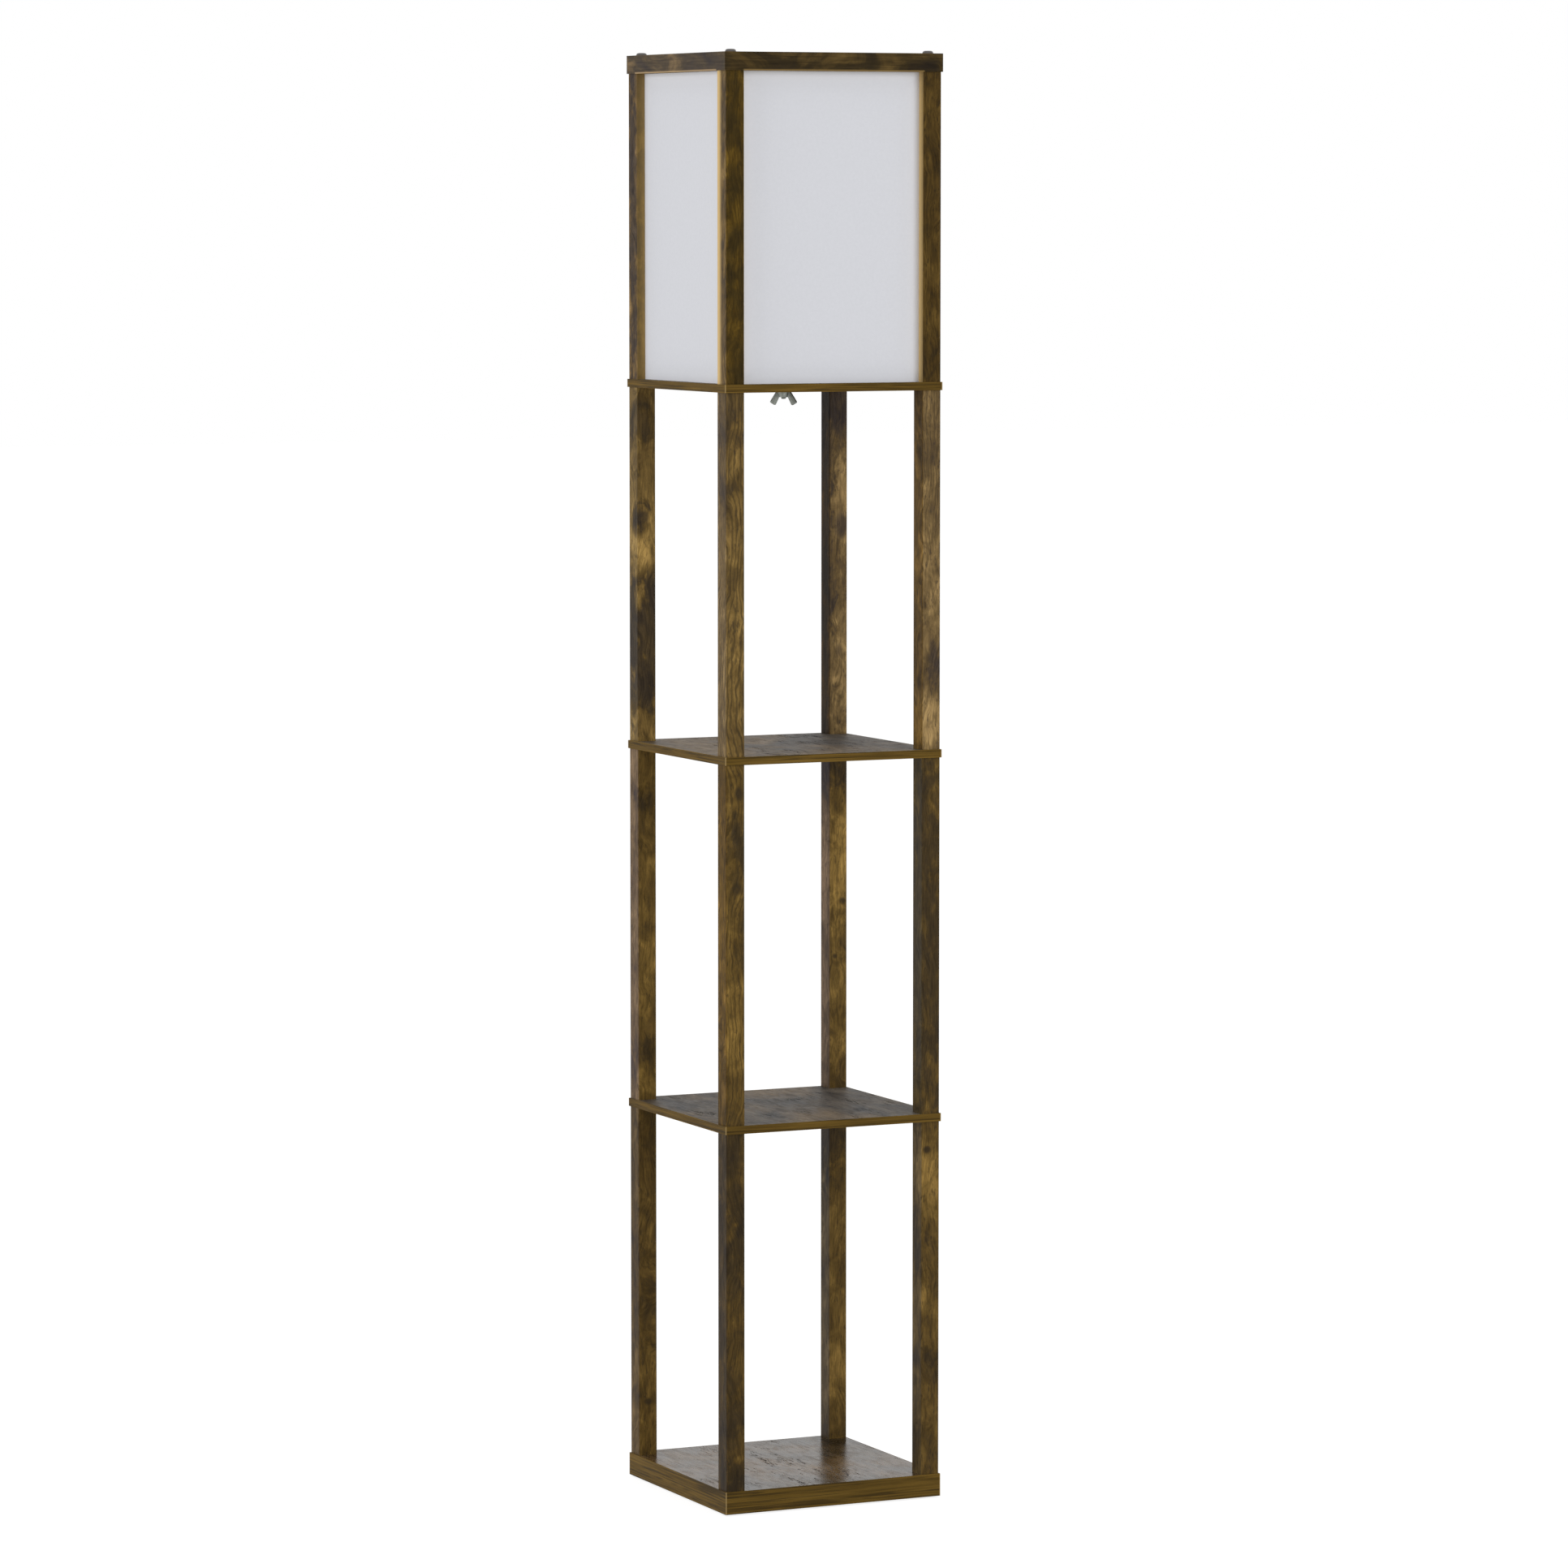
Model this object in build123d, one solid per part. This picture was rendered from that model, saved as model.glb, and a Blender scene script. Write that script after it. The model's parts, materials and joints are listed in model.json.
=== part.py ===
from build123d import *

import os
from math import acos, asin, cos, sin, sqrt

# Shelf floor lamp: three open tiers of square posts between square boards, with a light box on top.
# Millimetres, +Z up. The origin is on the floor, under the centre of the base.
# -Y is the front, and the left and right sides face -X and +X.

# Boards and posts
BOARD_SIDE = 262.0  # base, shelves, light-box floor and top frame alike
BOARD_OVERHANG = 1.5  # how far the boards stand out past the posts
BASE_THICKNESS = 25.0
SHELF_THICKNESS = 9.0
EDGE_BAND = 1.0
PAD_SIDE = 22.0
PAD_CORNER = 3.0
PAD_THICKNESS = 2.0
PAD_INSET = 36.0  # from the base's edge to a pad's centre
POST_SIDE = 22.0
POST_EDGE_CHAMFER = 0.6
TIER_POST_LENGTH = 395.0
LIGHT_POST_LENGTH = 338.0

# Top frame of mitred rails
RAIL_HEIGHT = 20.0
RAIL_WIDTH = 23.5

# Shade panels, which slide into grooves in the light-box posts
SHADE_THICKNESS = 2.0
GROOVE_DEPTH = 4.5
GROOVE_CLEARANCE = 0.2
SHADE_TOP_GAP = 0.3

# Threaded fasteners: studs join the tiers, and button-head screws hold the base and the top frame
THREAD_DIAMETER = 6.0
THREAD_CLEARANCE = 0.05
INSERT_DIAMETER = 8.5
INSERT_LENGTH = 14.0
STUD_END_GAP = 1.0  # from a stud's or screw's end to the bottom of its insert
BOLT_HOLE_DIAMETER = 7.0
BUTTON_DIAMETER = 12.0
BUTTON_HEIGHT = 3.0
BUTTON_RIM = 1.0
BUTTON_FLAT_DIAMETER = 7.0
HEX_KEY = 4.0
HEX_DEPTH = 1.9
ROD_SIDES = 6  # hidden shanks, inserts and their holes are drawn with few sides
CONE_SIDES = 24  # round pieces with slopes are drawn with flat sides
COUNTERBORE_DIAMETER = 14.0
COUNTERBORE_DEPTH = 5.0

# Screw-base bulb and its holder
HOLDER_LIFT = 12.0  # the holder's underside above the light-box floor
CAP_RADIUS = 20.0
CAP_WALL = 3.0
CAP_HEIGHT = 26.0
CAP_FLAT_DEPTH = 1.0  # of the flats on which the stirrup's legs sit
PART_GAP = 0.2  # between pieces of the holder that slip into each other
SKIRT_RADIUS = 18.0
SKIRT_RIM_RADIUS = 19.5
SKIRT_RIM_HEIGHT = 5.0
SKIRT_HEIGHT = 29.0
TERMINAL_HEIGHT = 12.0
TERMINAL_WALL = 2.8
WIRE_ROOM = 6.0  # height of the hollow under the terminal block
WIRE_HOLE_DIAMETER = 7.0
TERMINAL_SCREW_DIAMETER = 3.0
TERMINAL_SCREW_HEAD_DIAMETER = 6.0
TERMINAL_SCREW_HEAD_HEIGHT = 2.0
TERMINAL_SCREW_LENGTH = 4.0
TERMINAL_SCREW_SPACING = 16.0
SLEEVE_FIT = 0.08  # radial clearance of the bulb's screw base
SLEEVE_WALL = 0.6
SLEEVE_HEIGHT = 26.0
TONGUE_WIDTH = 6.0
TONGUE_THICKNESS = 0.6
TONGUE_RISE = 3.0
TONGUE_TAIL = 10.0  # from the axis to the tongue's fixed end
TONGUE_TIP = 4.0  # from the axis to its free end
BULB_GAP = 0.3  # from the bulb's contact to the tongue
BULB_LENGTH = 110.0
BULB_RADIUS = 30.0
BULB_WALL = 1.2
DOME_STEPS = 5  # bands of flat faces from the dome's rim to its flat top
DOME_FLAT_RADIUS = 4.0
BULB_CONTACT_RADIUS = 4.5
BULB_CONTACT_HEIGHT = 1.2
BULB_INSULATOR_RADIUS = 10.0
BULB_INSULATOR_HEIGHT = 3.0
SCREW_BASE_RADIUS = 13.2
SCREW_BASE_HEIGHT = 24.0
BULB_NECK_RADIUS = 13.8
BULB_RIM_RADIUS = 27.0  # where the plastic housing meets the dome

# Stirrup that carries the holder, with its screw, washer and wing nut
STIRRUP_WIDTH = 16.0
STIRRUP_THICKNESS = 1.5
STIRRUP_LEG = 26.0
STIRRUP_BEND_RADIUS = 1.5  # inside its two bends
SIDE_SCREW_DIAMETER = 3.0
SIDE_SCREW_HEAD_DIAMETER = 5.5
SIDE_SCREW_HEAD_HEIGHT = 1.8
SIDE_SCREW_HEIGHT = 8.0  # above the holder's underside
SIDE_SCREW_SHORT = 0.2  # how far the screw's end stays inside the cap's wall
WASHER_DIAMETER = 18.0
WASHER_THICKNESS = 1.6
WING_HUB_HEIGHT = 8.0
WING_HUB_BASE_RADIUS = 6.5
WING_HUB_TOP_RADIUS = 5.2
WING_SPAN = 32.0
WING_HEIGHT = 17.0  # from the hub's face to the wings' tips
WING_THICKNESS = 2.8
WING_TIP_WIDTH = 6.2
WING_TIP_SLOPE = 3.6  # how much lower a tip's outer corner is
WING_ROOT_RADIUS = 8.2  # where a wing's outer edge starts
WING_ROOT_LIFT = 1.0  # of a wing's lowest point over the hub's face
WING_CORNER = 1.0
WING_ANGLE = -48.0  # the direction of the wings, about +Z from +X
STUD_TIP_OUT = 1.9  # how far the screw's tip shows past the hub

# Grommet through which the supply cord leaves the light box
GROMMET_INSET_X = 61.0  # from the board's right-hand and back edges
GROMMET_INSET_Y = 47.0
GROMMET_BORE = 7.0
GROMMET_WALL = 1.5
GROMMET_FLANGE = 2.5
GROMMET_LIP = 1.5

BOTTOM = (Align.CENTER, Align.CENTER, Align.MIN)

grommet_x = BOARD_SIDE / 2 - GROMMET_INSET_X
grommet_y = BOARD_SIDE / 2 - GROMMET_INSET_Y
post_centre = BOARD_SIDE / 2 - BOARD_OVERHANG - POST_SIDE / 2
post_inner = post_centre - POST_SIDE / 2

base_bottom = PAD_THICKNESS
base_top = base_bottom + BASE_THICKNESS
lower_shelf_bottom = base_top + TIER_POST_LENGTH
lower_shelf_top = lower_shelf_bottom + SHELF_THICKNESS
upper_shelf_bottom = lower_shelf_top + TIER_POST_LENGTH
upper_shelf_top = upper_shelf_bottom + SHELF_THICKNESS
box_floor_bottom = upper_shelf_top + TIER_POST_LENGTH
box_floor_top = box_floor_bottom + SHELF_THICKNESS
rail_bottom = box_floor_top + LIGHT_POST_LENGTH
rail_top = rail_bottom + RAIL_HEIGHT

CORNERS = {
    "front_left": (-1, -1),
    "front_right": (1, -1),
    "back_left": (-1, 1),
    "back_right": (1, 1),
}


def disc(radius, height, z=0.0, x=0.0, y=0.0):
    """An upright cylinder whose lower face is at z."""
    return Pos(x, y, z) * Cylinder(radius, height, align=BOTTOM)


def block(x_size, y_size, z_size, x=0.0, y=0.0, z=0.0):
    """A box whose lower face is at z, centred on x and y."""
    return Pos(x, y, z) * Box(x_size, y_size, z_size, align=BOTTOM)


def ring(outer, inner, height, z=0.0, x=0.0, y=0.0):
    return disc(outer, height, z, x, y) - disc(inner, height, z, x, y)


def rod(diameter, height, z=0.0):
    """An upright bar or hole on the Z axis, for a hidden thread or its hole, with few sides."""
    return Pos(0, 0, z) * extrude(RegularPolygon(diameter / 2, ROD_SIDES), height)


def turned(*outline):
    """A solid of revolution about Z from an outline of (radius, height) points."""
    return revolve(make_face(Polyline(*[(r, 0, z) for r, z in outline], close=True)), Axis.Z)


def tapered(*outline):
    """A round solid with flat sides, from (radius, height) points that go straight up its side."""
    turns = [Rot(0, 0, 360 * step / CONE_SIDES) for step in range(CONE_SIDES)]
    rings = [[(turn * Pos(r, 0, z)).position for turn in turns] for r, z in outline]
    faces = [Face(Wire.make_polygon(end)) for end in (rings[0], rings[-1])]
    for low, high in zip(rings, rings[1:]):
        for i in range(CONE_SIDES):
            faces.append(Face(Wire.make_polygon([low[i - 1], low[i], high[i], high[i - 1]])))
    return Solid(Shell(faces))


def on_posts(shape):
    """A copy of a shape drawn on the Z axis, on each of the four posts' centre lines."""
    return [Pos(sx * post_centre, sy * post_centre, 0) * shape for sx, sy in CORNERS.values()]


def save(name, *shapes):
    solids = [solid for shape in shapes for solid in shape.solids()]
    shape = solids[0] if len(solids) == 1 else Compound(children=solids)
    export_step(shape, f"parts/{name}.step")


# Boards


def board(thickness, bottom):
    """The core of a board, with a clearance hole for the fastener at each post."""
    side = BOARD_SIDE - 2 * EDGE_BAND
    core = block(side, side, thickness, z=bottom)
    for hole in on_posts(rod(BOLT_HOLE_DIAMETER, thickness, bottom)):
        core -= hole
    return core


def edge_band(thickness, bottom):
    """Four strips round a board: the side ones run its full depth, so their ends show in front."""
    place = BOARD_SIDE / 2 - EDGE_BAND / 2
    between = BOARD_SIDE - 2 * EDGE_BAND
    sides = [block(EDGE_BAND, BOARD_SIDE, thickness, x=s * place, z=bottom) for s in (-1, 1)]
    ends = [block(between, EDGE_BAND, thickness, y=s * place, z=bottom) for s in (-1, 1)]
    return sides + ends


def base_board():
    core = board(BASE_THICKNESS, base_bottom)
    for recess in on_posts(rod(COUNTERBORE_DIAMETER, COUNTERBORE_DEPTH, base_bottom)):
        core -= recess
    return core


def light_box_floor():
    """The topmost board, with holes for the holder's screw and the cord's grommet."""
    floor = board(SHELF_THICKNESS, box_floor_bottom)
    floor -= disc(BOLT_HOLE_DIAMETER / 2, SHELF_THICKNESS, box_floor_bottom)
    neck = GROMMET_BORE / 2 + GROMMET_WALL
    return floor - disc(neck, SHELF_THICKNESS, box_floor_bottom, grommet_x, grommet_y)


def foot_pads():
    place = BOARD_SIDE / 2 - PAD_INSET
    pad = block(PAD_SIDE, PAD_SIDE, PAD_THICKNESS)
    pad = chamfer(pad.edges().filter_by(Axis.Z), PAD_CORNER)
    return [Pos(sx * place, sy * place, 0) * pad for sx, sy in CORNERS.values()]


# Posts and the top frame


def plain_post(length, bottom):
    """A post on the Z axis, bored at both ends for its threaded inserts."""
    body = block(POST_SIDE, POST_SIDE, length, z=bottom)
    body = chamfer(body.edges().filter_by(Axis.Z), POST_EDGE_CHAMFER)
    body -= rod(INSERT_DIAMETER, INSERT_LENGTH, bottom)
    return body - rod(INSERT_DIAMETER, INSERT_LENGTH, bottom + length - INSERT_LENGTH)


def groove(length, bottom):
    """A shade panel's groove in the +X face of a post on the Z axis."""
    width = SHADE_THICKNESS + 2 * GROOVE_CLEARANCE
    return block(GROOVE_DEPTH, width, length, x=POST_SIDE / 2 - GROOVE_DEPTH / 2, z=bottom)


def grooved_post(sx, sy):
    """A light-box post, grooved on the two faces that look at its neighbours."""
    body = plain_post(LIGHT_POST_LENGTH, box_floor_top)
    cut = groove(LIGHT_POST_LENGTH, box_floor_top)
    body -= Rot(0, 0, 180 if sx > 0 else 0) * cut
    return body - Rot(0, 0, -90 if sy > 0 else 90) * cut


def inserts():
    """A threaded insert, shown as a plain sleeve, in each end of each post."""
    sleeve = rod(INSERT_DIAMETER, INSERT_LENGTH)
    sleeve -= rod(THREAD_DIAMETER + 2 * THREAD_CLEARANCE, INSERT_LENGTH)
    starts = []
    for bottom, length in (
        (base_top, TIER_POST_LENGTH),
        (lower_shelf_top, TIER_POST_LENGTH),
        (upper_shelf_top, TIER_POST_LENGTH),
        (box_floor_top, LIGHT_POST_LENGTH),
    ):
        starts += [bottom, bottom + length - INSERT_LENGTH]
    return [copy for z in starts for copy in on_posts(Pos(0, 0, z) * sleeve)]


def top_rail(turn):
    """One rail of the top frame, mitred at both ends and drilled for the corner screws."""
    half, inner = BOARD_SIDE / 2, BOARD_SIDE / 2 - RAIL_WIDTH
    outline = Polyline((-half, -half), (half, -half), (inner, -inner), (-inner, -inner), close=True)
    rail = Pos(0, 0, rail_bottom) * extrude(make_face(outline), RAIL_HEIGHT)
    for hole in on_posts(rod(BOLT_HOLE_DIAMETER, RAIL_HEIGHT, rail_bottom)):
        rail -= hole
    return Rot(0, 0, turn) * rail


def shade_panel(turn):
    """A stiff white panel, whose sides stand in the grooves of two posts."""
    reach = post_inner + GROOVE_DEPTH - GROOVE_CLEARANCE
    height = LIGHT_POST_LENGTH - SHADE_TOP_GAP
    return Rot(0, 0, turn) * block(2 * reach, SHADE_THICKNESS, height, y=-post_centre, z=box_floor_top)


# Fasteners of the tower


def button_head():
    """A screw's low head on z = 0, sloped from its rim to a flat with a hexagonal socket."""
    head = tapered(
        (BUTTON_DIAMETER / 2, 0),
        (BUTTON_DIAMETER / 2, BUTTON_RIM),
        (BUTTON_FLAT_DIAMETER / 2, BUTTON_HEIGHT),
    )
    socket = extrude(RegularPolygon(HEX_KEY / 2, 6, major_radius=False), HEX_DEPTH)
    return head - Pos(0, 0, BUTTON_HEIGHT - HEX_DEPTH) * socket


def frame_screw(shank_length):
    return button_head() + rod(THREAD_DIAMETER, shank_length, -shank_length)


def top_screws():
    screw = frame_screw(RAIL_HEIGHT + INSERT_LENGTH - STUD_END_GAP)
    return on_posts(Pos(0, 0, rail_top) * screw)


def base_screws():
    """Their heads are sunk in the base's underside."""
    seat = base_bottom + COUNTERBORE_DEPTH
    screw = frame_screw(base_top - seat + INSERT_LENGTH - STUD_END_GAP)
    return on_posts(Pos(0, 0, seat) * Rot(180, 0, 0) * screw)


def tier_studs():
    """Headless studs through each board that has posts on both sides."""
    reach = INSERT_LENGTH - STUD_END_GAP
    stud = rod(THREAD_DIAMETER, SHELF_THICKNESS + 2 * reach)
    boards = (lower_shelf_bottom, upper_shelf_bottom, box_floor_bottom)
    return [copy for z in boards for copy in on_posts(Pos(0, 0, z - reach) * stud)]


# Bulb holder. It and the bulb are drawn with the holder's underside at z = 0.

holder_bottom = box_floor_top + HOLDER_LIFT
cap_inner = CAP_RADIUS - CAP_WALL
terminal_radius = cap_inner - PART_GAP
terminal_top = CAP_WALL + TERMINAL_HEIGHT
sleeve_inner = SCREW_BASE_RADIUS + SLEEVE_FIT
sleeve_outer = sleeve_inner + SLEEVE_WALL
stirrup_inner = CAP_RADIUS - CAP_FLAT_DEPTH
stirrup_outer = stirrup_inner + STIRRUP_THICKNESS
side_screw_end = cap_inner + SIDE_SCREW_SHORT


def side_rod(diameter, inner, outer, side):
    """A bar along X from inner to outer, at the side screws' height."""
    return Pos(0, 0, SIDE_SCREW_HEIGHT) * Rot(0, 90 * side, 0) * rod(diameter, outer - inner, inner)


def holder_cap():
    """The cup that takes the wires, with flats for the stirrup's legs."""
    cup = disc(CAP_RADIUS, CAP_HEIGHT) - disc(cap_inner, CAP_HEIGHT, CAP_WALL)
    for side in (-1, 1):
        centre = side * (stirrup_inner + CAP_FLAT_DEPTH)
        cup -= block(2 * CAP_FLAT_DEPTH, 2 * CAP_RADIUS, CAP_HEIGHT, x=centre)
        cup -= side_rod(SIDE_SCREW_DIAMETER, side_screw_end, CAP_RADIUS, side)
    wire_hole_y = terminal_radius - TERMINAL_WALL - WIRE_HOLE_DIAMETER / 2
    return cup - Pos(0, wire_hole_y, 0) * rod(WIRE_HOLE_DIAMETER, CAP_WALL)


def terminal_places():
    """Where the terminal screws stand, on the ceiling of the terminal block's hollow."""
    return [Pos(side * TERMINAL_SCREW_SPACING / 2, 0, CAP_WALL + WIRE_ROOM) for side in (-1, 1)]


def terminal_block():
    body = disc(terminal_radius, TERMINAL_HEIGHT, CAP_WALL)
    body -= disc(terminal_radius - TERMINAL_WALL, WIRE_ROOM, CAP_WALL)
    for place in terminal_places():
        body -= place * rod(TERMINAL_SCREW_DIAMETER, TERMINAL_SCREW_LENGTH)
    return body


def terminal_screws():
    head = rod(TERMINAL_SCREW_HEAD_DIAMETER, TERMINAL_SCREW_HEAD_HEIGHT, -TERMINAL_SCREW_HEAD_HEIGHT)
    screw = head + rod(TERMINAL_SCREW_DIAMETER, TERMINAL_SCREW_LENGTH)
    return [place * screw for place in terminal_places()]


def holder_skirt():
    """The tube that screws into the cap, with a wider rim at its mouth."""
    bore = sleeve_outer + PART_GAP
    top = terminal_top + SKIRT_HEIGHT
    rim_bottom = top - SKIRT_RIM_HEIGHT
    return turned(
        (bore, terminal_top),
        (cap_inner - PART_GAP, terminal_top),
        (cap_inner - PART_GAP, CAP_HEIGHT),
        (SKIRT_RADIUS, CAP_HEIGHT),
        (SKIRT_RADIUS, rim_bottom),
        (SKIRT_RIM_RADIUS, rim_bottom),
        (SKIRT_RIM_RADIUS, top),
        (bore, top),
    )


def screw_sleeve():
    return ring(sleeve_outer, sleeve_inner, SLEEVE_HEIGHT, terminal_top)


def contact_tongue():
    """A bent brass strip that rises from the terminal block to the bulb's contact."""
    ramp = TONGUE_RISE
    low, high = terminal_top, terminal_top + TONGUE_RISE
    thick = TONGUE_THICKNESS
    outline = Polyline(
        (-TONGUE_TAIL, low),
        (-TONGUE_TIP - ramp, low),
        (-TONGUE_TIP, high - thick),
        (TONGUE_TIP, high - thick),
        (TONGUE_TIP, high),
        (-TONGUE_TIP - thick / 2, high),
        (-TONGUE_TIP - ramp - thick / 2, low + thick),
        (-TONGUE_TAIL, low + thick),
        close=True,
    )
    return extrude(Plane.XZ * make_face(outline), TONGUE_WIDTH / 2, both=True)


# Bulb

contact_bottom = terminal_top + TONGUE_RISE + BULB_GAP
insulator_bottom = contact_bottom + BULB_CONTACT_HEIGHT
screw_base_bottom = insulator_bottom + BULB_INSULATOR_HEIGHT
housing_bottom = screw_base_bottom + SCREW_BASE_HEIGHT
dome_centre = contact_bottom + BULB_LENGTH - BULB_RADIUS
dome_bottom = dome_centre - sqrt(BULB_RADIUS**2 - BULB_RIM_RADIUS**2)


def bulb_contact():
    return disc(BULB_CONTACT_RADIUS, BULB_CONTACT_HEIGHT, contact_bottom)


def bulb_insulator():
    """The cone between the contact and the screw base."""
    return tapered((BULB_CONTACT_RADIUS, insulator_bottom), (BULB_INSULATOR_RADIUS, screw_base_bottom))


def bulb_screw_base():
    """A plain cylinder over the thread's crests."""
    return disc(SCREW_BASE_RADIUS, SCREW_BASE_HEIGHT, screw_base_bottom)


def bulb_housing():
    """The flared plastic body between the screw base and the dome."""
    return tapered((BULB_NECK_RADIUS, housing_bottom), (BULB_RIM_RADIUS, dome_bottom))


def ball_cap(radius):
    """The part of a ball about the bulb's centre that lies over the housing, with a small flat on top."""
    start, end = asin((dome_bottom - dome_centre) / radius), acos(DOME_FLAT_RADIUS / radius)
    angles = [start + (end - start) * step / DOME_STEPS for step in range(DOME_STEPS + 1)]
    return tapered(*[(radius * cos(a), dome_centre + radius * sin(a)) for a in angles])


def bulb_dome():
    """The thin diffusing dome, whose rim stands on the housing."""
    return ball_cap(BULB_RADIUS) - ball_cap(BULB_RADIUS - BULB_WALL)


# Stirrup, and what clamps it to the light-box floor


def stirrup():
    """A strip bent to a U: its base lies on the floor and its legs hold the holder's cap."""
    outline = Polyline(
        (-stirrup_outer, 0),
        (stirrup_outer, 0),
        (stirrup_outer, STIRRUP_LEG),
        (stirrup_inner, STIRRUP_LEG),
        (stirrup_inner, STIRRUP_THICKNESS),
        (-stirrup_inner, STIRRUP_THICKNESS),
        (-stirrup_inner, STIRRUP_LEG),
        (-stirrup_outer, STIRRUP_LEG),
        close=True,
    )
    profile = make_face(outline)
    profile = fillet(profile.vertices().group_by(Axis.Y)[1], STIRRUP_BEND_RADIUS)
    profile = fillet(profile.vertices().group_by(Axis.Y)[0], STIRRUP_BEND_RADIUS + STIRRUP_THICKNESS)
    strip = extrude(Plane.XZ * profile, STIRRUP_WIDTH / 2, both=True)
    strip -= rod(BOLT_HOLE_DIAMETER, STIRRUP_THICKNESS)
    for side in (-1, 1):
        hole = side_rod(SIDE_SCREW_DIAMETER, stirrup_inner, stirrup_outer, side)
        strip -= Pos(0, 0, HOLDER_LIFT) * hole
    return Pos(0, 0, box_floor_top) * strip


def side_screws():
    """Pan-head screws through the stirrup's legs into the cap's wall."""
    screws = []
    for side in (-1, 1):
        shank = side_rod(SIDE_SCREW_DIAMETER, side_screw_end, stirrup_outer, side)
        head_end = stirrup_outer + SIDE_SCREW_HEAD_HEIGHT
        screws.append(shank + side_rod(SIDE_SCREW_HEAD_DIAMETER, stirrup_outer, head_end, side))
    return screws


def holder_screw():
    """Its head lies in the stirrup, and the tip of its round shank shows under the wing nut."""
    stack = STIRRUP_THICKNESS + SHELF_THICKNESS + WASHER_THICKNESS + WING_HUB_HEIGHT + STUD_TIP_OUT
    screw = button_head() + disc(THREAD_DIAMETER / 2, stack, -stack)
    return Pos(0, 0, box_floor_top + STIRRUP_THICKNESS) * screw


def wing_washer():
    bore = BOLT_HOLE_DIAMETER / 2
    return ring(WASHER_DIAMETER / 2, bore, WASHER_THICKNESS, box_floor_bottom - WASHER_THICKNESS)


def wing(side):
    """One wing, drawn upwards from the hub: a broad blade that leans outwards, with a square tip."""
    reach = WING_SPAN / 2
    outline = Polyline(
        (0, WING_ROOT_LIFT),
        (WING_ROOT_RADIUS, WING_ROOT_LIFT),
        (reach, WING_HEIGHT - WING_TIP_SLOPE),
        (reach - WING_TIP_WIDTH, WING_HEIGHT),
        (WING_HUB_TOP_RADIUS, WING_HUB_HEIGHT),
        (0, WING_HUB_HEIGHT),
        close=True,
    )
    face = make_face(outline)
    corners = [v for v in face.vertices() if v.X > WING_HUB_TOP_RADIUS + WING_CORNER]
    face = chamfer(corners, WING_CORNER)
    plate = extrude(Plane.XZ * face, WING_THICKNESS / 2, both=True)
    return Rot(0, 0, 0 if side > 0 else 180) * plate


def wing_nut():
    """A hub with two wings, upside down under the washer."""
    hub = tapered((WING_HUB_BASE_RADIUS, 0), (WING_HUB_TOP_RADIUS, WING_HUB_HEIGHT))
    nut = hub + wing(-1) + wing(1)
    nut -= disc(THREAD_DIAMETER / 2 + THREAD_CLEARANCE, WING_HUB_HEIGHT)
    seat = box_floor_bottom - WASHER_THICKNESS
    return Pos(0, 0, seat) * Rot(0, 0, WING_ANGLE) * Rot(180, 0, 0) * nut


def cord_grommet():
    """A rubber ring in the light-box floor, with a flange on each side."""
    neck = GROMMET_BORE / 2 + GROMMET_WALL
    flange = neck + GROMMET_FLANGE
    ring_body = turned(
        (GROMMET_BORE / 2, -GROMMET_LIP),
        (flange, -GROMMET_LIP),
        (flange, 0),
        (neck, 0),
        (neck, SHELF_THICKNESS),
        (flange, SHELF_THICKNESS),
        (flange, SHELF_THICKNESS + GROMMET_LIP),
        (GROMMET_BORE / 2, SHELF_THICKNESS + GROMMET_LIP),
    )
    return Pos(grommet_x, grommet_y, box_floor_bottom) * ring_body


def save_tiers():
    tiers = {"lower": base_top, "middle": lower_shelf_top, "upper": upper_shelf_top}
    for tier, bottom in tiers.items():
        post = plain_post(TIER_POST_LENGTH, bottom)
        for corner, (sx, sy) in CORNERS.items():
            save(f"{tier}_post_{corner}", Pos(sx * post_centre, sy * post_centre, 0) * post)
    for corner, (sx, sy) in CORNERS.items():
        save(f"light_box_post_{corner}", Pos(sx * post_centre, sy * post_centre, 0) * grooved_post(sx, sy))


def save_boards():
    save("foot_pads", *foot_pads())
    save("base_board", base_board())
    save("base_edge_band", *edge_band(BASE_THICKNESS, base_bottom))
    save("lower_shelf", board(SHELF_THICKNESS, lower_shelf_bottom))
    save("lower_shelf_edge_band", *edge_band(SHELF_THICKNESS, lower_shelf_bottom))
    save("upper_shelf", board(SHELF_THICKNESS, upper_shelf_bottom))
    save("upper_shelf_edge_band", *edge_band(SHELF_THICKNESS, upper_shelf_bottom))
    save("light_box_floor", light_box_floor())
    save("light_box_floor_edge_band", *edge_band(SHELF_THICKNESS, box_floor_bottom))


def save_light_box():
    for side, turn in {"front": 0, "right": 90, "back": 180, "left": 270}.items():
        save(f"top_rail_{side}", top_rail(turn))
        save(f"shade_panel_{side}", shade_panel(turn))
    save("cord_grommet", cord_grommet())


def save_fasteners():
    save("threaded_inserts", *inserts())
    save("tier_studs", *tier_studs())
    save("base_screws", *base_screws())
    save("top_screws", *top_screws())


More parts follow.
